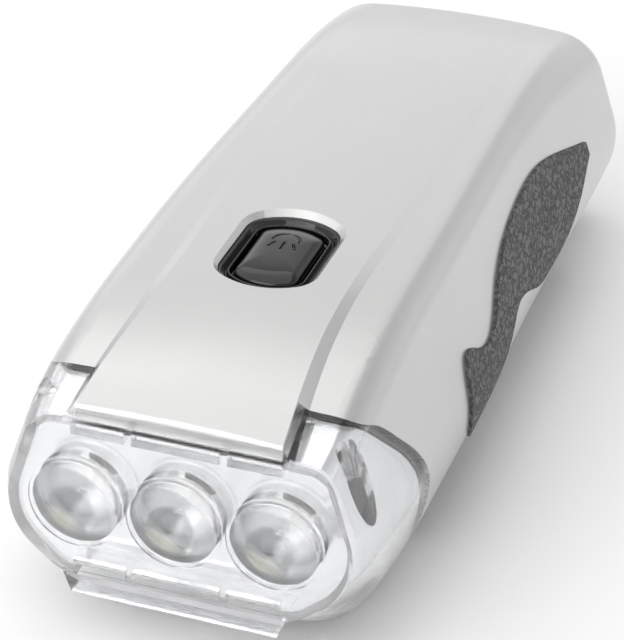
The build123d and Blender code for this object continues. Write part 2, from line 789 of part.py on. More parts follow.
with BuildPart() as button_cap:
    with BuildSketch(button_plane(FLANGE_TOP - 0.4)):
        with BuildLine():
            draw_button_oval(-TROUGH - CAP_GAP)
        make_face()
    extrude(amount=BUTTON_TOP - FLANGE_TOP + 0.4)
    crown = button_cap.faces().sort_by(Axis.Z)[-1]
    fillet(crown.edges(), 1.1)
    with BuildSketch(button_plane(FLANGE_TOP - 2.1)):
        with BuildLine():
            draw_button_oval(-TROUGH + 0.9)
        make_face()
    extrude(amount=0.9)
    with BuildSketch(button_plane(FLANGE_TOP - 1.3)):
        with BuildLine():
            draw_button_oval(-TROUGH - CAP_GAP)
        make_face()
    extrude(amount=1.0)
button_cap.part.label = "button_cap"
export_step(button_cap.part, "parts/button_cap.step")

with BuildPart() as switch_plunger:
    with BuildSketch(button_plane(SWITCH_TOP - 0.5)):
        Circle(PLUNGER_RADIUS)
    extrude(amount=FLANGE_TOP - 2.1 - SWITCH_TOP + 0.5)
switch_plunger.part.label = "switch_plunger"
export_step(switch_plunger.part, "parts/switch_plunger.step")

with BuildPart() as switch_body:
    with BuildSketch(button_plane(BOARD_Z + BOARD_THICK)):
        RectangleRounded(6.2, 6.2, 0.4)
    extrude(amount=SWITCH_HEIGHT)
    with BuildSketch(button_plane(SWITCH_TOP)):
        Circle(PLUNGER_RADIUS + 0.08)
    extrude(amount=-2.4, mode=Mode.SUBTRACT)
switch_body.part.label = "switch_body"
export_step(switch_body.part, "parts/switch_body.step")

with BuildPart() as main_board:
    with BuildSketch(Plane.XY.offset(BOARD_Z)):
        with Locations((0, BOARD_Y)):
            RectangleRounded(26.0, 26.4, 1.0)
        with Locations(*BOARD_SCREWS):
            Circle(1.0, mode=Mode.SUBTRACT)
    extrude(amount=BOARD_THICK)
main_board.part.label = "main_board"
export_step(main_board.part, "parts/main_board.step")

with BuildPart() as board_screws:
    with BuildSketch(Plane.XY.offset(BOARD_Z)):
        with Locations(*BOARD_SCREWS):
            Circle(1.5)
    extrude(amount=-1.0)
    with BuildSketch(Plane.XY.offset(BOARD_Z)):
        with Locations(*BOARD_SCREWS):
            Circle(0.8)
    extrude(amount=5.0)
board_screws.part.label = "board_screws"
export_step(board_screws.part, "parts/board_screws.step")

with BuildPart() as board_chips:
    with BuildSketch(Plane.XY.offset(BOARD_Z + BOARD_THICK)):
        with Locations((-8.0, BOARD_Y), (8.2, BOARD_Y + 3)):
            Rectangle(4.0, 5.0)
    extrude(amount=1.5)
    with BuildSketch(Plane.XY.offset(BOARD_Z + BOARD_THICK)):
        with Locations((8.0, BOARD_Y - 5), (0, BOARD_Y + 8.5)):
            Circle(2.0)
    extrude(amount=3.0)
board_chips.part.label = "board_chips"
export_step(board_chips.part, "parts/board_chips.step")


# ---------------------------------------------------------------------------
# Battery of three button cells in a holder
# ---------------------------------------------------------------------------


def cell_plane(x):
    """Plane square to the row of cells."""
    return Plane(origin=(x, *CELL_PLACE), x_dir=(0, 1, 0), z_dir=(1, 0, 0))


for index in range(3):
    start = -PACK_HALF + index * CELL_LENGTH
    with BuildPart() as cell:
        with BuildSketch(cell_plane(start)):
            Circle(CELL_RADIUS)
        extrude(amount=CELL_LENGTH)
        fillet(cell.edges(), 0.5)
    cell.part.label = f"battery_cell_{index + 1}"
    export_step(cell.part, f"parts/battery_cell_{index + 1}.step")

for side, label in ((-1, "contact_left"), (1, "contact_right")):
    with BuildPart() as contact:
        with BuildSketch(cell_plane(side * PACK_HALF)):
            RectangleRounded(7.0, 9.0, 1.0)
        extrude(amount=side * 0.4)
    contact.part.label = label
    export_step(contact.part, f"parts/{label}.step")

with BuildPart() as battery_holder:
    with BuildSketch(Plane.XY.offset(FLOOR_Z)):
        with Locations((0, CELL_PLACE[0])):
            RectangleRounded(2 * PACK_HALF + 4.0, 14.0, 1.5)
    extrude(amount=9.0)
    with BuildSketch(cell_plane(-PACK_HALF - 0.4)):
        Circle(CELL_RADIUS + 0.1)
        with Locations((0, 10)):
            Rectangle(2 * CELL_RADIUS + 0.2, 20)
    extrude(amount=2 * PACK_HALF + 0.8, mode=Mode.SUBTRACT)
battery_holder.part.label = "battery_holder"
export_step(battery_holder.part, "parts/battery_holder.step")


# ---------------------------------------------------------------------------
# Gears
# ---------------------------------------------------------------------------

def involute(angle):
    """Involute function of an angle in radians."""
    return tan(angle) - angle


def gear_points(teeth, module, turn):
    """Outline of a spur gear about the origin, with a tooth pointing at the turn."""
    pitch = module * teeth / 2
    base = pitch * cos(radians(PRESSURE))
    tip = pitch + 0.8 * module
    root = pitch - 1.1 * module
    half_pitch = pi / (2 * teeth) - BACKLASH / (4 * pitch)
    flank = []
    for radius in (max(base, root + 0.01), pitch, (pitch + tip) / 2, tip):
        angle = acos(min(1.0, base / radius))
        flank.append((radius, half_pitch + involute(radians(PRESSURE)) - involute(angle)))
    flank.insert(0, (root, flank[0][1]))
    points = []
    for tooth in range(teeth):
        middle = radians(turn) + 2 * pi * tooth / teeth
        for radius, half in flank:
            points.append((radius * cos(middle - half), radius * sin(middle - half)))
        for radius, half in reversed(flank):
            points.append((radius * cos(middle + half), radius * sin(middle + half)))
    return points


def level_plane(place, height):
    """Level plane centred on a place."""
    return Plane(origin=(*place, height))


def gear_solid(place, teeth, module, turn, bottom, top):
    """A spur gear standing at a place between two heights."""
    with BuildPart() as gear:
        with BuildSketch(level_plane(place, bottom)):
            with BuildLine():
                Polyline(gear_points(teeth, module, turn), close=True)
            make_face()
        extrude(amount=top - bottom)
    return gear.part


def gap_at(direction, teeth):
    """Turn of a gear that has a gap between teeth at a direction."""
    return direction + 180 / teeth


with BuildPart() as drive_gear:
    add(gear_solid(CRANK, DRIVE_TEETH, MODULE_1, 90, LAYER_1, LAYER_1 + 3.2))
    with BuildSketch(level_plane(CRANK, LAYER_1)):
        Circle(4.0)
    extrude(amount=6.0)
    with BuildSketch(level_plane(CRANK, LAYER_1 - 1)):
        with PolarLocations(9.2, 6):
            Circle(2.6)
    extrude(amount=6.0, mode=Mode.SUBTRACT)
    with BuildSketch(level_plane(CRANK, LAYER_1 - 1)):
        Circle(SHAFT_RADIUS)
    extrude(amount=12.0, mode=Mode.SUBTRACT)
drive_gear.part.label = "drive_gear"
export_step(drive_gear.part, "parts/drive_gear.step")

with BuildPart() as first_gear:
    add(gear_solid(FIRST, PINION_TEETH, MODULE_1, gap_at(270, PINION_TEETH), LAYER_1, LAYER_2))
    add(gear_solid(FIRST, WHEEL_TEETH, MODULE_2, TOWARDS_SECOND, LAYER_2, LAYER_2 + 2.4))
    with BuildSketch(level_plane(FIRST, LAYER_2 + 2.4)):
        Circle(2.0)
    extrude(amount=PLATE_Z - 0.2 - LAYER_2 - 2.4)
    with BuildSketch(level_plane(FIRST, 0)):
        Circle(AXLE_RADIUS + RUNNING)
    extrude(amount=30, mode=Mode.SUBTRACT)
first_gear.part.label = "first_gear"
export_step(first_gear.part, "parts/first_gear.step")

with BuildPart() as second_gear:
    facing_first = gap_at(TOWARDS_SECOND + 180, PINION_TEETH)
    add(gear_solid(SECOND, PINION_TEETH, MODULE_2, facing_first, LAYER_2, LAYER_3))
    add(gear_solid(SECOND, WHEEL_TEETH, MODULE_3, TOWARDS_ROTOR, LAYER_3, LAYER_3 + 2.0))
    with BuildSketch(level_plane(SECOND, LAYER_3 + 2.0)):
        Circle(2.0)
    extrude(amount=PLATE_Z - 0.2 - LAYER_3 - 2.0)
    with BuildSketch(level_plane(SECOND, 0)):
        Circle(AXLE_RADIUS + RUNNING)
    extrude(amount=30, mode=Mode.SUBTRACT)
second_gear.part.label = "second_gear"
export_step(second_gear.part, "parts/second_gear.step")

with BuildPart() as rotor_pinion:
    facing_second = gap_at(TOWARDS_ROTOR + 180, PINION_TEETH)
    add(gear_solid(ROTOR, PINION_TEETH, MODULE_3, facing_second, LAYER_3 - 0.2, LAYER_3 + 2.4))
    with BuildSketch(level_plane(ROTOR, 0)):
        Circle(ROTOR_SHAFT)
    extrude(amount=30, mode=Mode.SUBTRACT)
rotor_pinion.part.label = "rotor_pinion"
export_step(rotor_pinion.part, "parts/rotor_pinion.step")

for place, label in ((FIRST, "first_axle"), (SECOND, "second_axle")):
    with BuildPart() as axle:
        with BuildSketch(level_plane(place, FLOOR_Z - 1)):
            Circle(AXLE_RADIUS)
        extrude(amount=PLATE_TOP - FLOOR_Z + 1)
    axle.part.label = label
    export_step(axle.part, f"parts/{label}.step")

with BuildPart() as gearbox_plate:
    with BuildSketch(Plane.XY.offset(PLATE_Z)):
        with BuildLine():
            corners = [(-18.2, -13.2), (18.2, -13.2), (18.2, 30), (17.2, 46), (-6, 46), (-18.2, 32)]
            draw_rounded(corners[::-1], [3.0, 4.0, 3.0, 3.0, 3.0, 3.0])
        make_face()
        with Locations((0, -8.5)):
            SlotOverall(18, 5, mode=Mode.SUBTRACT)
        with Locations(*GEARBOX_SCREWS):
            Circle(0.95, mode=Mode.SUBTRACT)
        with Locations(FIRST, SECOND):
            Circle(AXLE_RADIUS, mode=Mode.SUBTRACT)
        with Locations(CRANK):
            Circle(SHAFT_RADIUS + RUNNING, mode=Mode.SUBTRACT)
        with Locations(ROTOR):
            Circle(ROTOR_SHAFT + 0.4, mode=Mode.SUBTRACT)
    extrude(amount=PLATE_THICK)
gearbox_plate.part.label = "gearbox_plate"
export_step(gearbox_plate.part, "parts/gearbox_plate.step")

with BuildPart() as gearbox_screws:
    with BuildSketch(Plane.XY.offset(PLATE_TOP)):
        with Locations(*GEARBOX_SCREWS):
            Circle(1.7)
    extrude(amount=1.1)
    with BuildSketch(Plane.XY.offset(PLATE_TOP)):
        with Locations(*GEARBOX_SCREWS):
            Circle(0.9)
    extrude(amount=-7.0)
gearbox_screws.part.label = "gearbox_screws"
export_step(gearbox_screws.part, "parts/gearbox_screws.step")


# ---------------------------------------------------------------------------
# Generator: magnet rotor inside a claw-pole stator with one ring coil
# ---------------------------------------------------------------------------


with BuildPart() as rotor_shaft:
    with BuildSketch(level_plane(ROTOR, FLOOR_Z)):
        Circle(ROTOR_SHAFT)
    extrude(amount=STATOR_TOP - FLOOR_Z)
rotor_shaft.part.label = "rotor_shaft"
export_step(rotor_shaft.part, "parts/rotor_shaft.step")

with BuildPart() as rotor_magnet:
    with BuildSketch(level_plane(ROTOR, PLATE_TOP + 1.0)):
        Circle(MAGNET_RADIUS)
        Circle(ROTOR_SHAFT, mode=Mode.SUBTRACT)
    extrude(amount=STATOR_TOP - PLATE_TOP - 2.2)
rotor_magnet.part.label = "rotor_magnet"
export_step(rotor_magnet.part, "parts/rotor_magnet.step")


def claws(bottom, height, turn):
    """Six pole fingers round the rotor."""
    with BuildPart() as fingers:
        with BuildSketch(level_plane(ROTOR, bottom)):
            with PolarLocations(CLAW_RADIUS + CLAW_WIDTH / 2, 6, start_angle=turn):
                Rectangle(CLAW_WIDTH, 2.4)
        extrude(amount=height)
    return fingers.part


with BuildPart() as stator_lower:
    with BuildSketch(level_plane(ROTOR, PLATE_TOP)):
        Circle(STATOR_RADIUS)
        Circle(CLAW_RADIUS - 0.15, mode=Mode.SUBTRACT)
    extrude(amount=0.7)
    with BuildSketch(level_plane(ROTOR, PLATE_TOP + 0.7)):
        Circle(STATOR_RADIUS)
        Circle(STATOR_RADIUS - 0.8, mode=Mode.SUBTRACT)
    extrude(amount=STATOR_TOP - PLATE_TOP - 1.4)
    add(claws(PLATE_TOP, STATOR_TOP - PLATE_TOP - 1.4, 0))
stator_lower.part.label = "stator_lower"
export_step(stator_lower.part, "parts/stator_lower.step")

with BuildPart() as stator_upper:
    with BuildSketch(level_plane(ROTOR, STATOR_TOP - 0.7)):
        Circle(STATOR_RADIUS)
        Circle(ROTOR_SHAFT + RUNNING, mode=Mode.SUBTRACT)
    extrude(amount=0.7)
    add(claws(PLATE_TOP + 1.4, STATOR_TOP - PLATE_TOP - 2.0, 30))
stator_upper.part.label = "stator_upper"
export_step(stator_upper.part, "parts/stator_upper.step")

with BuildPart() as coil_bobbin:
    with BuildSketch(level_plane(ROTOR, BOBBIN_BOTTOM)):
        Circle(STATOR_RADIUS - 0.9)
        Circle(BOBBIN_BORE, mode=Mode.SUBTRACT)
    extrude(amount=BOBBIN_HEIGHT)
    with BuildSketch(level_plane(ROTOR, BOBBIN_BOTTOM + 0.5)):
        Circle(STATOR_RADIUS)
        Circle(BOBBIN_BORE + 0.5, mode=Mode.SUBTRACT)
    extrude(amount=BOBBIN_HEIGHT - 1.0, mode=Mode.SUBTRACT)
coil_bobbin.part.label = "coil_bobbin"
export_step(coil_bobbin.part, "parts/coil_bobbin.step")

with BuildPart() as coil:
    with BuildSketch(level_plane(ROTOR, BOBBIN_BOTTOM + 0.5)):
        Circle(STATOR_RADIUS - 1.1)
        Circle(BOBBIN_BORE + 0.5, mode=Mode.SUBTRACT)
    extrude(amount=BOBBIN_HEIGHT - 1.0)
coil.part.label = "coil"
export_step(coil.part, "parts/coil.step")


# ---------------------------------------------------------------------------
# Crank: shaft, bush, arm and the knob that folds into the arm
# ---------------------------------------------------------------------------


with BuildPart() as crank_shaft:
    with BuildSketch(level_plane(CRANK, SCREW_SEAT)):
        Circle(SHAFT_RADIUS)
    extrude(amount=PLATE_TOP - SCREW_SEAT)
    with BuildSketch(level_plane(CRANK, SCREW_SEAT)):
        Circle(0.8)
    extrude(amount=6.0, mode=Mode.SUBTRACT)
crank_shaft.part.label = "crank_shaft"
export_step(crank_shaft.part, "parts/crank_shaft.step")

with BuildPart() as crank_screw:
    with BuildSketch(level_plane(CRANK, SCREW_SEAT)):
        Circle(2.3)
    extrude(amount=-1.4)
    with BuildSketch(level_plane(CRANK, SCREW_SEAT)):
        Circle(0.8)
    extrude(amount=5.5)
crank_screw.part.label = "crank_screw"
export_step(crank_screw.part, "parts/crank_screw.step")

with BuildPart() as crank_bush:
    with BuildSketch(level_plane(CRANK, RECESS_Z)):
        Circle(BUSH_RADIUS)
    extrude(amount=WALL)
    with BuildSketch(level_plane(CRANK, FLOOR_Z)):
        Circle(BUSH_RADIUS + 1.2)
    extrude(amount=0.8)
    with BuildSketch(level_plane(CRANK, 0)):
        Circle(SHAFT_RADIUS + RUNNING)
    extrude(amount=20, mode=Mode.SUBTRACT)
crank_bush.part.label = "crank_bush"
export_step(crank_bush.part, "parts/crank_bush.step")

with BuildPart() as crank_arm:
    with BuildSketch(Plane.XY.offset(ARM_BOTTOM)):
        with Locations(CRANK):
            Circle(HUB_RADIUS)
        with Locations((0, (CRANK_Y + HINGE_Y) / 2)):
            Rectangle(2 * ARM_HALF, HINGE_RADIUS)
    extrude(amount=ARM_TOP - ARM_BOTTOM)
    with BuildSketch(Plane(origin=(-ARM_HALF, HINGE_Y, HINGE_Z), x_dir=(0, 1, 0), z_dir=(1, 0, 0))):
        Circle(FORK_RADIUS)
    extrude(amount=2 * ARM_HALF)
    with BuildSketch(Plane.XY.offset(ARM_BOTTOM - 1)):
        with Locations((0, KNOB_START + KNOB_LENGTH + 1.6)):
            Rectangle(2 * SLOT_HALF, 40, align=(Align.CENTER, Align.MAX))
    extrude(amount=10, mode=Mode.SUBTRACT)
    with BuildSketch(Plane(origin=(-20, HINGE_Y, HINGE_Z), x_dir=(0, 1, 0), z_dir=(1, 0, 0))):
        Circle(PIN_RADIUS)
    extrude(amount=40, mode=Mode.SUBTRACT)
    with BuildSketch(level_plane(CRANK, ARM_BOTTOM - 1)):
        Circle(2.7)
    extrude(amount=SCREW_SEAT - ARM_BOTTOM + 1, mode=Mode.SUBTRACT)
    with BuildSketch(level_plane(CRANK, 0)):
        Circle(SHAFT_RADIUS)
    extrude(amount=20, mode=Mode.SUBTRACT)
crank_arm.part.label = "crank_arm"
export_step(crank_arm.part, "parts/crank_arm.step")

with BuildPart() as knob_pin:
    with BuildSketch(Plane(origin=(-ARM_HALF, HINGE_Y, HINGE_Z), x_dir=(0, 1, 0), z_dir=(1, 0, 0))):
        Circle(PIN_RADIUS)
    extrude(amount=2 * ARM_HALF)
knob_pin.part.label = "knob_pin"
export_step(knob_pin.part, "parts/knob_pin.step")


def along_knob(y):
    """Plane square to the folded knob's axle, facing the crank's centre."""
    return Plane(origin=(0, y, HINGE_Z), x_dir=(-1, 0, 0), z_dir=(0, 1, 0))


with BuildPart() as knob_axle:
    with BuildSketch(Plane(origin=(-3.8, HINGE_Y, HINGE_Z), x_dir=(0, 1, 0), z_dir=(1, 0, 0))):
        Circle(2.6)
        Circle(PIN_RADIUS + RUNNING, mode=Mode.SUBTRACT)
    extrude(amount=7.6)
    with BuildSketch(along_knob(HINGE_Y + 2.2)):
        Circle(KNOB_AXLE)
    extrude(amount=KNOB_END + 0.9 - HINGE_Y - 2.2)
    with BuildSketch(along_knob(KNOB_END + 0.1)):
        Circle(2.0)
    extrude(amount=0.8)
knob_axle.part.label = "knob_axle"
export_step(knob_axle.part, "parts/knob_axle.step")

with BuildPart() as crank_knob:
    with BuildSketch(along_knob(KNOB_START)):
        Circle(KNOB_RADIUS)
    extrude(amount=KNOB_LENGTH)
    fillet(crank_knob.edges().filter_by(GeomType.CIRCLE), 0.6)
    with BuildSketch(along_knob(KNOB_START - 1)):
        Circle(KNOB_AXLE + RUNNING)
    extrude(amount=KNOB_LENGTH + 2, mode=Mode.SUBTRACT)
crank_knob.part.label = "crank_knob"
export_step(crank_knob.part, "parts/crank_knob.step")

with BuildPart() as case_screws:
    with BuildSketch(Plane.XY.offset(SEAT_Z)):
        with Locations(*CASE_SCREWS):
            Circle(HEAD_RADIUS)
    extrude(amount=-HEAD_HEIGHT)
    with BuildSketch(Plane.XY.offset(SEAT_Z)):
        with Locations(*CASE_SCREWS):
            Circle(SCREW_RADIUS)
    extrude(amount=PARTING_Z + 8 - SEAT_Z)
case_screws.part.label = "case_screws"
export_step(case_screws.part, "parts/case_screws.step")
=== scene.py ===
"""Hand crank flashlight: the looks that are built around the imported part.

The part lies with its lenses towards -Y and its underside on the floor at Z = 0, in metres.
"""

import logging
import math
from dataclasses import dataclass
from enum import Enum
from typing import Iterable, Optional, Union

import bmesh
import bpy
import numpy as np
from mathutils import Matrix, Vector


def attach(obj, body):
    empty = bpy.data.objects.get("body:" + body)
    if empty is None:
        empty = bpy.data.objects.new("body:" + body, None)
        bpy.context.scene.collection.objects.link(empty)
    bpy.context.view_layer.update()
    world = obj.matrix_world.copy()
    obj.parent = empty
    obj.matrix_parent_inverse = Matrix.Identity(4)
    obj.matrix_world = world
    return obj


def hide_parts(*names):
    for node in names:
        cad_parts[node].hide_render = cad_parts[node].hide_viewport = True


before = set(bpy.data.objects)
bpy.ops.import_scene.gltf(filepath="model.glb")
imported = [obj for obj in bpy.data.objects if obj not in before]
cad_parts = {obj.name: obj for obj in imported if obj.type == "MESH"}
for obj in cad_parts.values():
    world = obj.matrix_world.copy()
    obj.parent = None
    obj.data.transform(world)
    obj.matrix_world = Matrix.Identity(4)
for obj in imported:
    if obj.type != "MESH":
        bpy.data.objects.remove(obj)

logging.basicConfig(level=logging.INFO, format="%(name)s: %(message)s")
LOG = logging.getLogger("flashlight")

MM = 0.001
Array = np.ndarray
Tone = tuple[float, float, float]
Value = Union["Field", float, Tone]


# ---------------------------------------------------------------- shader graph


class Operation(Enum):
    """Sums that a shader value can be put through."""

    ADD = "ADD"
    SUBTRACT = "SUBTRACT"
    MULTIPLY = "MULTIPLY"
    SINE = "SINE"
    ABSOLUTE = "ABSOLUTE"


class Field:
    """A number that varies over a surface, worked on like a plain Python number."""

    def __init__(self, graph: "Graph", socket: bpy.types.NodeSocket) -> None:
        """Keep the graph and the output socket that carries the number."""
        self.graph = graph
        self.socket = socket

    def _sum(self, operation: Operation, first: Value, second: Optional[Value] = None) -> "Field":
        """Put one or two values through a Math node.

        Args:
            operation: what the node does.
            first: the first value.
            second: the second value, where the operation takes one.

        Returns:
            The node's result.
        """
        inputs = {0: first} if second is None else {0: first, 1: second}
        return self.graph.node("ShaderNodeMath", {"operation": operation.value}, inputs)

    def __add__(self, other: Value) -> "Field":
        """This plus the other."""
        return self._sum(Operation.ADD, self, other)

    __radd__ = __add__

    def __sub__(self, other: Value) -> "Field":
        """This less the other."""
        return self._sum(Operation.SUBTRACT, self, other)

    def __rsub__(self, other: Value) -> "Field":
        """The other less this."""
        return self._sum(Operation.SUBTRACT, other, self)

    def __mul__(self, other: Value) -> "Field":
        """This times the other."""
        return self._sum(Operation.MULTIPLY, self, other)

    __rmul__ = __mul__

    def __abs__(self) -> "Field":
        """This without its sign."""
        return self._sum(Operation.ABSOLUTE, self)

    def sine(self) -> "Field":
        """The sine of this, in radians."""
        return self._sum(Operation.SINE, self)

    def spread(self, low: float, high: float, start: float = 0.0, end: float = 1.0) -> "Field":
        """Stretch the stretch from low to high onto start to end, and hold it there.

        Args:
            low: the value that becomes start.
            high: the value that becomes end.
            start: the result at low.
            end: the result at high.

        Returns:
            The stretched value.
        """
        inputs = {"Value": self, "From Min": low, "From Max": high, "To Min": start, "To Max": end}
        return self.graph.node("ShaderNodeMapRange", {"clamp": True}, inputs)


class Graph:
    """The nodes of one material, or of the room."""

    def __init__(self, owner: Union[str, bpy.types.World]) -> None:
        """Start without nodes.

        Args:
            owner: the name of a new material, or the world that is lit.
        """
        self.material = bpy.data.materials.new(owner) if isinstance(owner, str) else owner
        self.material.use_nodes = True
        self.tree = self.material.node_tree
        self.tree.nodes.clear()

    def node(self, kind: str, settings: dict, inputs: dict, output: Union[int, str] = 0) -> Field:
        """Add a node of any kind.

        Args:
            kind: the node's type.
            settings: its own settings, set first.
            inputs: values or fields for its sockets, by name or number.
            output: which of its outputs to give back.

        Returns:
            The chosen output.
        """
        made = self.tree.nodes.new(kind)
        for key, value in settings.items():
            setattr(made, key, value)
        for key, value in inputs.items():
            socket = made.inputs[key]
            if isinstance(value, Field):
                self.tree.links.new(value.socket, socket)
            elif isinstance(value, tuple) and len(value) == 3 and socket.type == "RGBA":
                socket.default_value = (*value, 1.0)
            else:
                socket.default_value = value
        return Field(self, made.outputs[output])

    def place(self) -> Field:
        """The point on the piece, in its own metres."""
        return self.node("ShaderNodeTexCoord", {}, {}, "Object")

    def axis(self, name: str) -> Field:
        """One coordinate of that point: X, Y or Z."""
        return self.node("ShaderNodeSeparateXYZ", {}, {0: self.place()}, name)

    def stretched(self, scale: Tone) -> Field:
        """The point with each of its axes scaled."""
        return self.node("ShaderNodeMapping", {}, {"Vector": self.place(), "Scale": scale})

    def noise(
        self, size: float, detail: float = 2.0, rough: float = 0.5, place: Optional[Field] = None
    ) -> Field:
        """Soft cloudy noise.

        Args:
            size: the width of its clouds in metres.
            detail: how many finer layers it has.
            rough: how strong the finer layers are.
            place: where it is read, or the point on the piece.

        Returns:
            The noise, from 0 to 1 about 0.5.
        """
        inputs = {"Vector": place or self.place(), "Scale": 1 / size, "Detail": detail, "Roughness": rough}
        return self.node("ShaderNodeTexNoise", {}, inputs, 0)

    def cells(self, size: float) -> Field:
        """Small cells, each with a colour of its own."""
        return self.node("ShaderNodeTexVoronoi", {}, {"Vector": self.place(), "Scale": 1 / size}, "Color")

    def mix(self, factor: Value, first: Value, second: Value) -> Field:
        """Blend two colours.

        Args:
            factor: how much of the second shows.
            first: the colour at 0.
            second: the colour at 1.

        Returns:
            The blended colour.
        """
        inputs = {0: factor, 6: first, 7: second}
        return self.node("ShaderNodeMix", {"data_type": "RGBA"}, inputs, 2)

    def bump(
        self, height: Field, depth: float, strength: float = 1.0, under: Optional[Field] = None
    ) -> Field:
        """Turn a height into a tilted normal.

        Args:
            height: the height, from 0 to 1.
            depth: what a height of 1 measures in metres.
            strength: how much of the tilt is kept.
            under: a normal that this relief lies on.

        Returns:
            The normal.
        """
        inputs = {"Height": height, "Distance": depth, "Strength": strength}
        if under is not None:
            inputs["Normal"] = under
        return self.node("ShaderNodeBump", {}, inputs)

    def edges(self, width: float) -> Field:
        """How sharp an edge is near the point: 0 on a flat face, up to 1 on a worn corner."""
        soft = self.node("ShaderNodeBevel", {"samples": 4}, {"Radius": width})
        plain = self.node("ShaderNodeNewGeometry", {}, {}, "Normal")
        turn = self.node("ShaderNodeVectorMath", {"operation": "DOT_PRODUCT"}, {0: soft, 1: plain}, "Value")
        return (1 - turn).spread(0.02, 0.3)

    def surface(self, inputs: dict) -> bpy.types.Material:
        """Finish the material with one principled shader.

        Args:
            inputs: values or fields for the shader's sockets.

        Returns:
            The finished material.
        """
        return self.output(self.node("ShaderNodeBsdfPrincipled", {}, inputs))

    def output(self, shader: Field) -> bpy.types.Material:
        """Send a shader to the material's surface and give the material back."""
        room = isinstance(self.material, bpy.types.World)
        end = self.tree.nodes.new("ShaderNodeOutputWorld" if room else "ShaderNodeOutputMaterial")
        self.tree.links.new(shader.socket, end.inputs["Surface"])
        return self.material


# ---------------------------------------------------------------- finishes


@dataclass(frozen=True)
class SilverPaint:
    """Satin silver paint with fine flakes over moulded plastic."""

    name: str = "silver_paint"
    tone: Tone = (0.60, 0.597, 0.592)
    worn: Tone = (0.48, 0.478, 0.474)
    flake: float = 0.00022
    cloud: float = 0.018

    def make(self) -> bpy.types.Material:
        """Flakes tilt the surface a little and clouds of handling change its gloss."""
        g = Graph(self.name)
        glint = g.node("ShaderNodeSeparateColor", {}, {0: g.cells(self.flake)}, 0)
        clouds = g.noise(self.cloud, 4.0, 0.55)
        tone = g.mix(glint * 0.10 + clouds * 0.18, self.tone, self.worn)
        relief = g.bump(g.noise(0.0011, 2.0), 0.000006, 0.6, g.bump(glint, 0.000003, 0.5))
        return g.surface({
            "Base Color": tone, "Metallic": 0.8, "Roughness": clouds.spread(0.3, 0.7, 0.27, 0.34),
            "Normal": relief, "Coat Weight": 0.25, "Coat Roughness": 0.12})


@dataclass(frozen=True)
class Rubber:
    """Soft moulded rubber with a grain like wrinkled leather."""

    name: str = "grip_rubber"
    # the dark tone is painted shade for the creases; the paler tone below is the colour of the ridges between
    # them
    tone: Tone = (0.036, 0.036, 0.037)
    ridge_tone: Tone = (0.125, 0.125, 0.125)
    grain: float = 0.0009
    swirl: float = 0.0016

    def make(self) -> bpy.types.Material:
        """Wrinkles are the creases of noise whose points are shifted by more noise."""
        g = Graph(self.name)
        swirls = {"Vector": g.place(), "Scale": 1 / self.swirl, "Detail": 1.0}
        bend = g.node("ShaderNodeTexNoise", {}, swirls, "Color")
        shift = g.node("ShaderNodeVectorMath", {"operation": "SCALE"}, {0: bend, "Scale": self.grain})
        along = g.stretched((1.0, 0.7, 1.0))
        place = g.node("ShaderNodeVectorMath", {"operation": "ADD"}, {0: along, 1: shift})
        wrinkle = abs(g.noise(self.grain, 3.0, 0.5, place) - 0.5) * 2
        crease = wrinkle.spread(0.02, 0.22)
        fine = g.noise(0.00035, 2.0)
        normal = g.bump(crease, 0.00016, 0.8, g.bump(fine, 0.00004, 0.5))
        # painted shade: the creases keep the dark tone and the ridges turn paler, with a little random grain
        # on top
        tone = g.mix(crease * 0.75 + fine * 0.2, self.tone, self.ridge_tone)
        return g.surface({"Base Color": tone, "Roughness": crease.spread(0, 1, 0.72, 0.52), "Normal": normal})


@dataclass(frozen=True)
class Moulded:
    """Moulded plastic: fine grain, faint clouds and slightly paler worn edges."""

    name: str
    tone: Tone
    rough: float = 0.35
    grain: float = 0.0004
    depth: float = 0.000012
    wear: float = 0.5
    coat: float = 0.0
    rubbed: float = 1.6

    def make(self) -> bpy.types.Material:
        """Grain tilts the surface, and edges are lighter where hands rub them."""
        g = Graph(self.name)
        clouds = g.noise(0.009, 4.0, 0.6)
        fine = g.noise(self.grain, 2.0)
        rub = g.edges(0.0006) * self.wear * clouds
        pale = tuple(min(1.0, part * self.rubbed + 0.03) for part in self.tone)
        tone = g.mix(rub + fine * 0.12, self.tone, pale)
        rough = clouds.spread(0.3, 0.7, self.rough * 0.85, self.rough * 1.15)
        return g.surface({
            "Base Color": tone, "Roughness": rough, "Normal": g.bump(fine, self.depth, 0.7),
            "Coat Weight": self.coat, "Coat Roughness": 0.05})


@dataclass(frozen=True)
class Clear:
    """Clear polycarbonate with the faint waviness of a moulding; what body leaves over passes straight."""

    name: str = "clear_plastic"
    tone: Tone = (0.985, 0.99, 1.0)
    rough: float = 0.02
    index: float = 1.49
    wave: float = 0.004
    body: float = 0.80

    def make(self) -> bpy.types.Material:
        """The surface swells and sinks by a few hundredths of a millimetre."""
        g = Graph(self.name)
        normal = g.bump(g.noise(self.wave, 2.0), 0.00002, 0.6)
        rough = g.noise(0.012, 3.0).spread(0.4, 0.7, self.rough, self.rough + 0.03)
        return g.surface({
            "Base Color": self.tone, "Roughness": rough, "Transmission Weight": 1.0,
            "IOR": self.index, "Alpha": self.body, "Normal": normal})


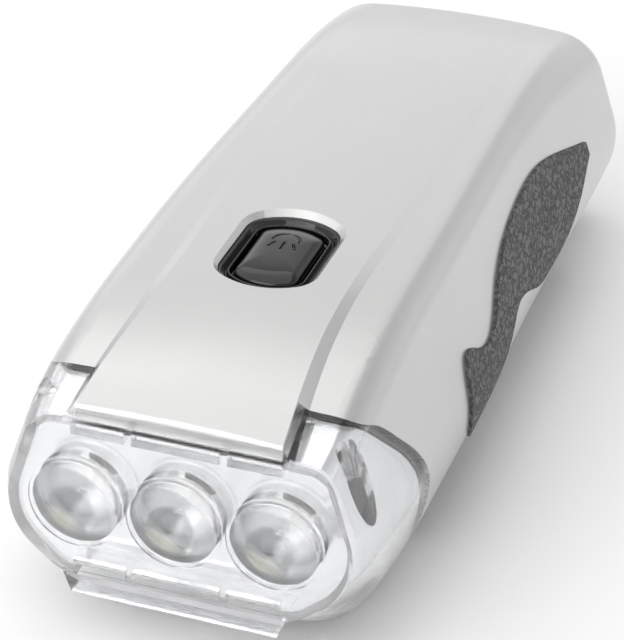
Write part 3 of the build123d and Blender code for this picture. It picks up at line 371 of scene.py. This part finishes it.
@dataclass(frozen=True)
class Metal:
    """Bare or plated metal with fine turning or drawing lines."""

    name: str
    tone: Tone
    rough: float = 0.22
    lines: float = 0.0003
    dull: float = 0.75
    metal: float = 1.0

    def make(self) -> bpy.types.Material:
        """Lines along Y tilt the surface, and handling dulls it in clouds."""
        g = Graph(self.name)
        drawn = g.noise(self.lines, 2.0, 0.6, g.stretched((1.0, 0.08, 1.0)))
        clouds = g.noise(0.006, 4.0, 0.6)
        dim = tuple(part * self.dull for part in self.tone)
        tone = g.mix(clouds * 0.6 + drawn * 0.3, self.tone, dim)
        return g.surface({
            "Base Color": tone, "Metallic": self.metal,
            "Roughness": clouds.spread(0.3, 0.7, self.rough, self.rough + 0.12),
            "Normal": g.bump(drawn, 0.000006, 0.5)})


@dataclass(frozen=True)
class Board:
    """Solder mask with copper tracks showing through as paler lines."""

    name: str = "board_green"
    mask: Tone = (0.012, 0.115, 0.035)
    track: Tone = (0.040, 0.230, 0.070)

    def make(self) -> bpy.types.Material:
        """Tracks are the bands of two crossed waves that noise switches on and off."""
        g = Graph(self.name)
        bands = (g.axis("X") * 2600).sine().spread(0.5, 0.7) * g.noise(0.006).spread(0.48, 0.52)
        cross = (g.axis("Y") * 2100).sine().spread(0.6, 0.8) * g.noise(0.008).spread(0.52, 0.48)
        tracks = bands + cross
        return g.surface({
            "Base Color": g.mix(tracks.spread(0, 1), self.mask, self.track), "Roughness": 0.3,
            "Normal": g.bump(tracks, 0.00003, 0.7)})


@dataclass(frozen=True)
class Winding:
    """Enamelled copper wire, wound side by side."""

    name: str = "copper"
    wire: float = 0.00018
    tone: Tone = (0.72, 0.30, 0.12)
    shade: Tone = (0.30, 0.09, 0.03)

    def make(self) -> bpy.types.Material:
        """Rounded turns are the sine of the height over the wire's width."""
        g = Graph(self.name)
        turns = (g.axis("Z") * (2 * math.pi / self.wire)).sine().spread(-1, 1)
        # painted shade: the colour darkens to the shade tone in the grooves between turns and stays copper on
        # their crests
        return g.surface({
            "Base Color": g.mix(turns, self.shade, self.tone), "Metallic": 0.8, "Roughness": 0.3,
            "Normal": g.bump(turns, 0.00006, 0.8)})


def finishes() -> dict[str, bpy.types.Material]:
    """Make every finish, by the name of the slot that it fills.

    Returns:
        The materials by slot name.
    """
    kinds = [
        SilverPaint(), Rubber(), Clear(), Board(), Winding(),
        Board("board_white", (0.80, 0.81, 0.80), (0.86, 0.86, 0.85)),
        Metal("mirror_film", (0.98, 0.985, 0.99), 0.08, 0.0008, 0.97, 0.88),
        Clear("led_epoxy", (1.0, 1.0, 1.0), 0.02, 1.5), Clear("led_clear", (1.0, 1.0, 1.0), 0.02, 1.5),
        Moulded("phosphor", (0.86, 0.83, 0.60), 0.6),
        Moulded("black_gloss", (0.004, 0.004, 0.005), 0.07, 0.0008, 0.000004, 0.10, 0.15),
        Moulded("black_matt", (0.022, 0.022, 0.024), 0.42, 0.0005, 0.00003, 0.6),
        Moulded("seal_grey", (0.050, 0.052, 0.055), 0.55, 0.0004, 0.00002, 0.3),
        Moulded("gear_white", (0.78, 0.77, 0.72), 0.38),
        Moulded("gear_plate", (0.20, 0.21, 0.22), 0.45),
        Metal("steel", (0.62, 0.62, 0.63)),
        Metal("brass", (0.78, 0.56, 0.25)),
        Metal("magnet", (0.25, 0.25, 0.26), 0.35),
        Metal("cell_steel", (0.66, 0.67, 0.68), 0.18),
    ]
    return {kind.name: kind.make() for kind in kinds}


# ---------------------------------------------------------------- stage


@dataclass(frozen=True)
class Lamp:
    """A square soft light, in metres and watts."""

    name: str
    place: Tone
    size: float
    power: float
    aim: Tone = (0.0, 0.0, 0.02)

    def hang(self) -> bpy.types.Object:
        """Hang the light so that it faces its aim.

        Returns:
            The light.
        """
        data = bpy.data.lights.new(self.name, "AREA")
        data.size = self.size
        data.energy = self.power
        item = bpy.data.objects.new(self.name, data)
        item.location = self.place
        item.rotation_euler = (Vector(self.aim) - Vector(self.place)).to_track_quat("-Z", "Y").to_euler()
        bpy.context.collection.objects.link(item)
        return item


LAMPS = (
    Lamp("key", (-0.30, -0.12, 0.85), 1.5, 6.2),
    Lamp("rear", (-0.35, 0.75, 0.60), 1.0, 1.0),
    Lamp("fill", (-0.25, -0.8, 0.45), 0.8, 3.2, (0.0, -0.03, 0.02)),
)


@dataclass
class Stage:
    """The pale floor, the room's glow and the camera."""

    eye: Tone = (0.08936, -0.26607, 0.18686)
    azimuth: float = 19.33
    elevation: float = 32.14
    roll: float = 0.26
    lens: float = 141.55
    floor_half: float = 6.0
    floor_fade: float = 0.985
    floor_tone: Tone = (0.90, 0.90, 0.90)
    room_low: Tone = (0.90, 0.90, 0.91)
    room_high: Tone = (0.50, 0.50, 0.50)

    def camera(self) -> bpy.types.Object:
        """Place the camera: its axes are turned by azimuth about Z, then tipped by elevation, then rolled.

        Returns:
            The camera.
        """
        a, e, r = (math.radians(angle) for angle in (self.azimuth, self.elevation, self.roll))
        back = Vector((math.sin(a) * math.cos(e), -math.cos(a) * math.cos(e), math.sin(e)))
        right = Vector((math.cos(a), math.sin(a), 0.0))
        up = back.cross(right)
        across = right * math.cos(r) + up * math.sin(r)
        upward = up * math.cos(r) - right * math.sin(r)
        turn = Matrix((across, upward, back)).transposed().to_4x4()
        data = bpy.data.cameras.new("camera")
        data.lens = self.lens
        data.clip_start = 0.01
        item = bpy.data.objects.new("camera", data)
        item.matrix_world = Matrix.Translation(self.eye) @ turn
        bpy.context.collection.objects.link(item)
        bpy.context.scene.camera = item
        return item

    def floor(self) -> bpy.types.Object:
        """Lay the pale floor, a square at Z = 0 with a faint mottle.

        Returns:
            The floor.
        """
        h = self.floor_half
        mesh = bpy.data.meshes.new("floor")
        mesh.from_pydata([(-h, -h, 0), (h, -h, 0), (h, h, 0), (-h, h, 0)], [], [(0, 1, 2, 3)])
        item = bpy.data.objects.new("floor", mesh)
        bpy.context.collection.objects.link(item)
        g = Graph("floor_paper")
        faded = tuple(part * self.floor_fade for part in self.floor_tone)
        mesh.materials.append(g.surface({
            "Base Color": g.mix(g.noise(0.15, 3.0), self.floor_tone, faded), "Roughness": 0.7,
            "Specular IOR Level": 0.3}))
        return item

    def build(self) -> None:
        """Lay the floor, hang the lights, light the room and place the camera."""
        self.floor()
        for lamp in LAMPS:
            lamp.hang()
        world = bpy.data.worlds.new("room")
        g = Graph(world)
        around = g.node("ShaderNodeTexCoord", {}, {}, "Generated")
        height = g.node("ShaderNodeSeparateXYZ", {}, {0: around}, "Z")
        tone = g.mix(height.spread(0.25, 0.85), self.room_low, self.room_high)
        g.output(g.node("ShaderNodeBackground", {}, {"Color": tone, "Strength": 1.0}))
        bpy.context.scene.world = world
        bpy.context.scene.view_settings.view_transform = "Standard"
        self.camera()


# ---------------------------------------------------------------- surfaces


def grid_faces(rows: int, columns: int, closed: bool) -> Array:
    """Number the four-sided faces of a grid of points.

    Args:
        rows: how many rows of points there are.
        columns: how many points a row has.
        closed: whether each row is a loop.

    Returns:
        The corners of each face, as an array of shape (faces, 4).
    """
    across = columns if closed else columns - 1
    row, column = np.meshgrid(np.arange(rows - 1), np.arange(across), indexing="ij")
    after = (column + 1) % columns
    near, far = row * columns, (row + 1) * columns
    corners = [near + column, near + after, far + after, far + column]
    return np.stack(corners, axis=-1).reshape(-1, 4)


@dataclass
class Skin:
    """A mesh that is put together from grids of points."""

    name: str

    def __post_init__(self) -> None:
        """Start with no points."""
        self.points: list[Array] = []
        self.faces: list[list[int]] = []
        self.count = 0

    def grid(self, points: Array, closed: bool = False, flip: bool = False) -> None:
        """Add a grid of points.

        Args:
            points: an array of shape (rows, columns, 3), in metres.
            closed: whether each row is a loop.
            flip: whether its faces are turned over.
        """
        rows, columns, _ = points.shape
        corners = grid_faces(rows, columns, closed) + self.count
        self.faces.extend((corners[:, ::-1] if flip else corners).tolist())
        self.points.append(points.reshape(-1, 3))
        self.count += rows * columns

    def cap(self, loop: Array, flip: bool = False) -> None:
        """Close a loop of points with one flat face.

        Args:
            loop: an array of shape (points, 3), in metres.
            flip: whether the face is turned over.
        """
        corners = list(range(self.count, self.count + len(loop)))
        self.faces.append(corners[::-1] if flip else corners)
        self.points.append(loop)
        self.count += len(loop)

    def place(self, look: bpy.types.Material, body: str, corner: float = 40.0) -> bpy.types.Object:
        """Weld the grids into one smooth mesh and put it in the scene.

        Args:
            look: its finish.
            body: the body that it rides on.
            corner: the angle in degrees above which an edge stays sharp.

        Returns:
            The new piece.
        """
        mesh = bpy.data.meshes.new(self.name)
        mesh.from_pydata(np.concatenate(self.points).tolist(), [], self.faces)
        shape = bmesh.new()
        shape.from_mesh(mesh)
        bmesh.ops.remove_doubles(shape, verts=shape.verts, dist=0.000002)
        bmesh.ops.dissolve_degenerate(shape, dist=0.000002, edges=shape.edges)
        bmesh.ops.recalc_face_normals(shape, faces=shape.faces)
        shape.to_mesh(mesh)
        shape.free()
        mesh.shade_smooth()
        mesh.set_sharp_from_angle(angle=math.radians(corner))
        mesh.materials.append(look)
        item = bpy.data.objects.new(self.name, mesh)
        bpy.context.collection.objects.link(item)
        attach(item, body)
        LOG.info("%s built with %d faces", self.name, len(mesh.polygons))
        return item


def turned(profile: Array, centre: Tone, steps: int = 64) -> Array:
    """Turn a profile about a line along Y: each point goes round at its radius.

    Args:
        profile: rows of (radius, distance behind the centre), in metres.
        centre: a point on the line.
        steps: how many points go round.

    Returns:
        A closed grid of shape (rows, steps, 3).
    """
    turn = np.linspace(0, 2 * np.pi, steps, endpoint=False)
    radius, behind = profile[:, :1], profile[:, 1:]
    x = centre[0] + radius * np.cos(turn)
    y = centre[1] + behind + 0 * turn
    z = centre[2] + radius * np.sin(turn)
    return np.stack([x, y, z], axis=-1)


def smooth_run(points: Iterable[tuple], steps: int) -> Array:
    """Carry a smooth curve through a few points.

    A cubic runs between each two, with the slope at a point taken from its two neighbours.

    Args:
        points: the points that it passes.
        steps: how many points each stretch gets.

    Returns:
        The curve's points, in rows.
    """
    given = np.array(list(points), dtype=float)
    slopes = np.gradient(given, axis=0)
    t = np.linspace(0, 1, steps, endpoint=False)[:, None]
    rows = []
    for start, end, leave, arrive in zip(given, given[1:], slopes, slopes[1:]):
        rows.append(start * (1 + 2 * t) * (1 - t) ** 2 + leave * t * (1 - t) ** 2
                    + end * t * t * (3 - 2 * t) + arrive * t * t * (t - 1))
    return np.concatenate(rows + [given[-1:]])


# ---------------------------------------------------------------- button


@dataclass
class Button:
    """The glossy push button and the stepped black ring round it; sizes in millimetres."""

    middle: float = -23.1
    half_x: float = 6.0
    half_y: float = 8.6
    end: float = 8.0
    corner: float = 3.4
    crown: float = 34.15
    shoulder: float = 32.7
    cap_foot: float = 29.8
    cap_grow: float = -1.95
    stroke: float = 0.19
    groove: float = 0.26
    steps: int = 320

    def oval(self, grow: float) -> Array:
        """The opening's outline, grown by an amount.

        Each quarter is half of a wide end arc, a smaller corner arc that meets it smoothly and half
        of a straight side. With c = asin(across / apart) the arcs meet at the angle c from the Y axis.

        Args:
            grow: how far it moves outwards, in millimetres.

        Returns:
            Points of (x, y) about the button's middle.
        """
        across, apart = self.half_x - self.corner, self.end - self.corner
        meet = math.asin(across / apart)
        straight = self.half_y - self.end + apart * math.cos(meet)
        wide = np.linspace(0, meet, self.steps // 10, endpoint=False)
        tight = np.linspace(meet, math.pi / 2, self.steps // 10, endpoint=False)
        run = np.linspace(straight, 0, self.steps // 20, endpoint=False)
        end_arc = (0.0, self.half_y - self.end, self.end + grow, wide)
        corner_arc = (across, straight, self.corner + grow, tight)
        bends = [
            np.column_stack([x + r * np.sin(turn), y + r * np.cos(turn)])
            for x, y, r, turn in (end_arc, corner_arc)]
        quarter = np.concatenate(bends + [np.column_stack([np.full(len(run), self.half_x + grow), run])])
        back = (quarter * (1, -1))[::-1]
        half = np.concatenate([quarter, [(self.half_x + grow, 0.0)], back[:-1]])
        return np.concatenate([half, -half])

    def ring(self, grow: float, height: float) -> Array:
        """One level loop of points round the button, in metres."""
        flat = self.oval(grow) + (0.0, self.middle)
        return np.column_stack([flat, np.full(len(flat), height)]) * MM

    def strokes(self, x: Array, y: Array) -> Array:
        """How far points are from the lines of a plain lamp symbol: a half circle over three rays.

        Args:
            x: places across the cap in millimetres.
            y: places along it.

        Returns:
            The distance to the nearest line.
        """
        radius = 1.7
        arc = np.where(y > 2.3, abs(np.hypot(x, y - 2.3) - radius), np.hypot(abs(x) - radius, y - 2.3))
        nearest = arc
        for x0, y0, x1, y1 in ((-1.15, 1.7, -1.65, 0.5), (0.0, 1.9, 0.0, 0.2), (1.15, 1.7, 1.65, 0.5)):
            length = (x1 - x0) ** 2 + (y1 - y0) ** 2
            along = np.clip(((x - x0) * (x1 - x0) + (y - y0) * (y1 - y0)) / length, 0, 1)
            ray = np.hypot(x - x0 - along * (x1 - x0), y - y0 - along * (y1 - y0))
            nearest = np.minimum(nearest, ray)
        return nearest

    def cap(self, look: bpy.types.Material) -> bpy.types.Object:
        """Build the cap: its outline shrinks to the middle while its height rises to a soft crown.

        Args:
            look: its finish.

        Returns:
            The cap.
        """
        skin = Skin("button_dome")
        scale = (1 - np.linspace(0, 1, 100, endpoint=False) ** 1.3)[:, None]
        flat = self.oval(self.cap_grow)
        x, y = scale * flat[:, 0], scale * flat[:, 1]
        rise = (1 - scale ** 3.2) ** (1 / 2.4)
        pressed = self.groove * np.clip(1 - (self.strokes(x, y) / self.stroke) ** 2, 0, 1) ** 0.6
        height = self.shoulder + (self.crown - self.shoulder) * rise - pressed
        top = np.stack([x, y + self.middle, height], axis=-1) * MM
        skin.grid(top, closed=True)
        skin.cap(top[-1])
        levels = [(self.cap_grow, self.shoulder), (self.cap_grow, self.cap_foot), (-0.85, self.cap_foot),
                  (-0.8, 29.75), (-0.8, 28.95), (-0.85, 28.9)]
        skin.grid(np.stack([self.ring(grow, z) for grow, z in levels]), closed=True)
        skin.cap(self.ring(-0.85, 28.9))
        item = skin.place(look, "button", 50.0)
        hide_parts("button_cap")
        return item

    def trough(self, look: bpy.types.Material) -> bpy.types.Object:
        """Build the black ring: a closed profile of lip, trough and thin rim carried round the outline.

        Args:
            look: its finish.

        Returns:
            The ring.
        """
        eased = smooth_run([(-0.05, 33.0), (-0.09, 33.5), (-0.3, 33.5), (-0.62, 33.02), (-0.92, 32.72),
                            (-1.05, 33.05), (-1.2, 33.3), (-1.38, 33.2), (-1.46, 32.7), (-1.52, 32.3)], 6)
        profile = [(1.6, 30.1), (1.6, 31.0), (-0.05, 31.0)] + [tuple(point) for point in eased]
        profile += [(-1.7, 32.2), (-1.7, 30.1), (1.6, 30.1)]
        skin = Skin("button_trough")
        skin.grid(np.stack([self.ring(grow, z) for grow, z in profile]), closed=True)
        item = skin.place(look, "housing", 50.0)
        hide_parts("button_bezel")
        return item

    def build(self, looks: dict[str, bpy.types.Material]) -> None:
        """Build the cap and the ring round it."""
        self.cap(looks["black_gloss"])
        self.trough(looks["black_gloss"])


# ---------------------------------------------------------------- lamp


@dataclass
class Diode:
    """One clear light emitting diode with its cup, phosphor and two posts; sizes in millimetres."""

    label: str
    across: float
    base: float = -42.8
    level: float = 17.8
    radius: float = 2.5

    def at(self, profile: Iterable[tuple]) -> Array:
        """Turn a profile of (radius, distance ahead of the base) about the diode's axis."""
        rows = np.array([(r, -ahead) for r, ahead in profile]) * MM
        return turned(rows, (self.across * MM, self.base * MM, self.level * MM))

    def lens(self, look: bpy.types.Material) -> bpy.types.Object:
        """Build the clear body: a flange, a straight barrel and a round dome.

        Args:
            look: its finish.

        Returns:
            The body.
        """
        turn = np.linspace(0, np.pi / 2, 14)
        dome = [(self.radius * math.cos(a), 4.2 + self.radius * math.sin(a)) for a in turn[:-1]]
        foot = [(0.02, 0.0), (2.85, 0.0), (2.9, 0.1), (2.9, 0.9), (2.8, 1.0), (2.52, 1.0), (2.5, 1.1)]
        profile = foot + dome + [(0.02, 6.7)]
        skin = Skin(self.label + "_body")
        grid = self.at(profile)
        skin.grid(grid, closed=True)
        skin.cap(grid[0])
        skin.cap(grid[-1])
        item = skin.place(look, "housing", 45.0)
        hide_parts(self.label)
        return item

    def cup(self, metal: bpy.types.Material, glow: bpy.types.Material) -> None:
        """Build the silver cup, the phosphor in it and the two posts that carry it.

        Args:
            metal: the finish of the cup and posts.
            glow: the finish of the phosphor.
        """
        cup = Skin(self.label + "_cup")
        bowl = [(0.02, 1.6), (0.9, 1.6), (1.25, 1.8), (1.4, 2.9), (1.3, 2.9), (0.85, 2.3), (0.02, 2.3)]
        cup.grid(self.at(bowl), closed=True)
        for side in (-1, 1):
            x, y, z = self.across + side * 1.1, self.base, self.level
            square = 0.25 * np.array([(-1, 0, -1), (1, 0, -1), (1, 0, 1), (-1, 0, 1)])
            post = np.stack([square + (x, y - ahead, z) for ahead in (0.1, 0.95, 1.9)]) * MM
            cup.grid(post, closed=True)
            cup.cap(post[0])
            cup.cap(post[-1])
        cup.place(metal, "housing", 30.0)
        dot = Skin(self.label + "_phosphor")
        dot.grid(self.at([(0.02, 2.3), (0.84, 2.31), (1.24, 2.85), (0.8, 3.05), (0.02, 3.12)]), closed=True)
        dot.place(glow, "housing", 60.0)

    def build(self, looks: dict[str, bpy.types.Material]) -> None:
        """Build the body and what is sealed in it."""
        self.lens(looks["led_clear"])
        self.cup(looks["mirror_film"], looks["phosphor"])


# ---------------------------------------------------------------- the whole flashlight


def clear_defaults() -> None:
    """Take away what a new file holds."""
    for name in ("Cube", "Light", "Camera"):
        item = bpy.data.objects.get(name)
        if item is not None:
            bpy.data.objects.remove(item)


def dress(looks: dict[str, bpy.types.Material]) -> None:
    """Give every node of the part the finish of its slot.

    Args:
        looks: the finishes by slot name.
    """
    for name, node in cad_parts.items():
        for place in node.material_slots:
            slot = place.material.name.split(".")[0]
            place.material = looks[slot]
        LOG.info("%s dressed", name)


def main() -> None:
    """Build the stage, dress the part's nodes and build the pieces that stand for others."""
    clear_defaults()
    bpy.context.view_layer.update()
    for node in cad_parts.values():
        for place in node.material_slots:
            place.material.name = place.material.name + ".packed"
    looks = finishes()
    dress(looks)
    Button().build(looks)
    for label, across in (("led_left", -12.0), ("led_centre", 0.0), ("led_right", 12.0)):
        Diode(label, across).build(looks)
    Stage().build()


if __name__ == "__main__":
    main()
